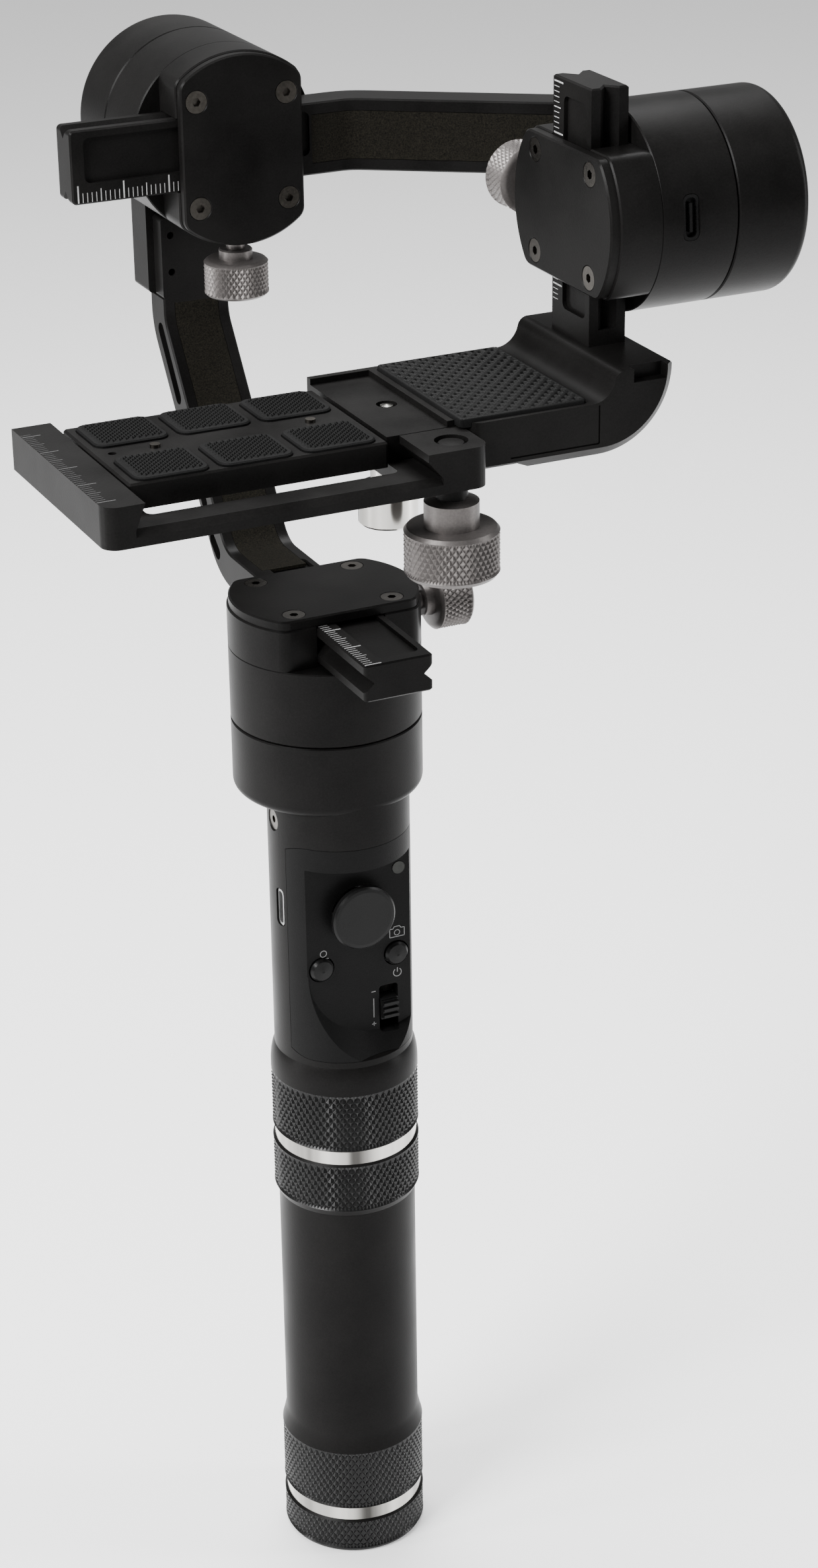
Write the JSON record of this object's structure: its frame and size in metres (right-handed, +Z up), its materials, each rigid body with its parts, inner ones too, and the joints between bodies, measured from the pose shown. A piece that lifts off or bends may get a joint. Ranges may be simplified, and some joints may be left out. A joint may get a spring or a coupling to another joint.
{
  "type": "gimbal stabilizer",
  "caption": "Handheld camera stabiliser with a knurled battery handle, motorised pan, roll and tilt axes, sliding balance arms and a sliding camera plate.",
  "frame": {"origin": "centre of the handle's foot face, at the mouth of the tripod thread", "axes": "+Z up along the handle; -Y the side with the controls; +X the side with the tilt motor; the object stands on its foot"},
  "size_m": [0.1521, 0.1553, 0.3453],
  "materials": {
    "anodised_black": "satin, bead blasted and black anodised",
    "polished_steel": "polished",
    "knob_aluminium": "satin, knurled, grey anodised",
    "steel": "machined",
    "screw_steel": "machined",
    "panel_plastic": "fine spark texture",
    "lens_plastic": "milky, clear",
    "board": "solder mask",
    "cell_wrap": "shrink wrap",
    "windings": "enamelled copper",
    "magnet": "nickel plated",
    "suede_pad": "short speckled nap",
    "rubber_pad": "moulded, fine pattern"
  },
  "bodies": {
    "foot": {"tail_cap": "anodised_black", "tail_ring": "polished_steel", "battery_contact_spring": "steel"},
    "grip": {"grip_tube": "anodised_black", "battery_cells": "cell_wrap"},
    "handle": {"upper_ring": "polished_steel", "upper_collar": "anodised_black", "handle_body": "anodised_black", "neck_screws": "screw_steel", "control_panel": "panel_plastic", "main_board": "board", "led_lens": "lens_plastic", "pan_stator_housing": "anodised_black", "pan_stator_windings": "windings", "pan_bearings": "steel"},
    "joystick_gimbal": {"joystick_ring": "panel_plastic"},
    "joystick": {"joystick_cap": "panel_plastic"},
    "mode_key": {"mode_button": "panel_plastic"},
    "shutter_key": {"shutter_button": "panel_plastic"},
    "zoom_key": {"zoom_slider": "panel_plastic"},
    "pan_head": {"pan_rotor_housing": "anodised_black", "pan_magnet_ring": "magnet", "pan_shaft": "steel", "pan_block": "anodised_black", "pan_cover_plate": "anodised_black", "pan_plate_screws": "screw_steel"},
    "pan_clamp_screw": {"pan_thumb_screw": "knob_aluminium"},
    "pan_carrier": {"pan_arm": "anodised_black", "pan_arm_pad": "suede_pad", "roll_stator_housing": "anodised_black", "roll_stator_windings": "windings", "roll_bearings": "steel"},
    "roll_head": {"roll_rotor_housing": "anodised_black", "roll_magnet_ring": "magnet", "roll_shaft": "steel", "roll_block": "anodised_black", "roll_cover_plate": "anodised_black", "roll_plate_screws": "screw_steel"},
    "roll_clamp_screw": {"roll_thumb_screw": "knob_aluminium"},
    "roll_carrier": {"roll_arm": "anodised_black", "roll_arm_pad": "suede_pad", "tilt_stator_housing": "anodised_black", "tilt_stator_windings": "windings", "tilt_bearings": "steel"},
    "tilt_head": {"tilt_rotor_housing": "anodised_black", "tilt_magnet_ring": "magnet", "tilt_shaft": "steel", "tilt_block": "anodised_black", "tilt_cover_plate": "anodised_black", "tilt_plate_screws": "screw_steel", "tilt_usb_port": "board"},
    "tilt_clamp_screw": {"tilt_thumb_screw": "knob_aluminium"},
    "camera_carrier": {"camera_bracket": "anodised_black", "bracket_pad": "rubber_pad"},
    "plate_lock": {"lock_screw": "polished_steel"},
    "slide_plate": {"slide_frame": "anodised_black", "top_plate": "anodised_black", "plate_pads": "rubber_pad", "plate_pins": "screw_steel"},
    "plate_clamp": {"clamp_knob": "knob_aluminium"}
  },
  "joints": [
    {"name": "tail_cap_thread", "type": "hinge", "parent": "foot", "child": "grip", "pos_m": [0, 0, 0.0124], "axis": [0, 0, 1], "continuous": true},
    {"name": "collar_thread", "type": "hinge", "parent": "grip", "child": "handle", "pos_m": [0, 0, 0.1059], "axis": [0, 0, 1], "continuous": true},
    {"name": "joystick_up_down", "type": "hinge", "parent": "handle", "child": "joystick_gimbal", "pos_m": [0, -0.0065, 0.165], "axis": [1, 0, 0], "range_deg": [-10, 10], "stiffness_Nm_per_rad": 0.02},
    {"name": "joystick_left_right", "type": "hinge", "parent": "joystick_gimbal", "child": "joystick", "pos_m": [0, -0.0065, 0.165], "axis": [0, 0, 1], "range_deg": [-10, 10], "stiffness_Nm_per_rad": 0.02},
    {"name": "mode_press", "type": "slide", "parent": "handle", "child": "mode_key", "axis": [0, 1, 0], "range_m": [0, 0.0008], "stiffness_N_per_m": 600},
    {"name": "shutter_press", "type": "slide", "parent": "handle", "child": "shutter_key", "axis": [0, 1, 0], "range_m": [0, 0.0008], "stiffness_N_per_m": 600},
    {"name": "zoom_slide", "type": "slide", "parent": "handle", "child": "zoom_key", "axis": [0, 0, 1], "range_m": [-0.0025, 0.0025], "stiffness_N_per_m": 400},
    {"name": "pan_motor", "type": "hinge", "parent": "handle", "child": "pan_head", "pos_m": [0, 0.0051, 0.2], "axis": [0, 0, 1], "continuous": true},
    {"name": "pan_clamp_turn", "type": "hinge", "parent": "pan_head", "child": "pan_clamp_screw", "pos_m": [0, 0.0051, 0.2282], "axis": [1, 0, 0], "continuous": true},
    {"name": "pan_arm_slide", "type": "slide", "parent": "pan_head", "child": "pan_carrier", "axis": [0, 1, 0], "range_m": [-0.015, 0.02]},
    {"name": "roll_motor", "type": "hinge", "parent": "pan_carrier", "child": "roll_head", "pos_m": [0, 0.06, 0.32], "axis": [0, 1, 0], "continuous": true},
    {"name": "roll_clamp_turn", "type": "hinge", "parent": "roll_head", "child": "roll_clamp_screw", "pos_m": [0, 0.0475, 0.3], "axis": [0, 0, 1], "continuous": true},
    {"name": "roll_arm_slide", "type": "slide", "parent": "roll_head", "child": "roll_carrier", "axis": [1, 0, 0], "range_m": [-0.008, 0.02]},
    {"name": "tilt_motor", "type": "hinge", "parent": "roll_carrier", "child": "tilt_head", "pos_m": [0.06, -0.034, 0.32], "axis": [1, 0, 0], "continuous": true},
    {"name": "tilt_clamp_turn", "type": "hinge", "parent": "tilt_head", "child": "tilt_clamp_screw", "pos_m": [0.0415, -0.02, 0.32], "axis": [0, 1, 0], "continuous": true},
    {"name": "bracket_slide", "type": "slide", "parent": "tilt_head", "child": "camera_carrier", "axis": [0, 0, 1], "range_m": [-0.006, 0.0045]},
    {"name": "plate_lock_turn", "type": "hinge", "parent": "camera_carrier", "child": "plate_lock", "pos_m": [-0.0037, -0.0362, 0.27], "axis": [0, 0, 1], "continuous": true},
    {"name": "plate_slide", "type": "slide", "parent": "camera_carrier", "child": "slide_plate", "axis": [1, 0, 0], "range_m": [-0.012, 0]},
    {"name": "plate_clamp_turn", "type": "hinge", "parent": "slide_plate", "child": "plate_clamp", "pos_m": [-0.002, -0.061, 0.27], "axis": [0, 0, 1], "continuous": true}
  ]
}
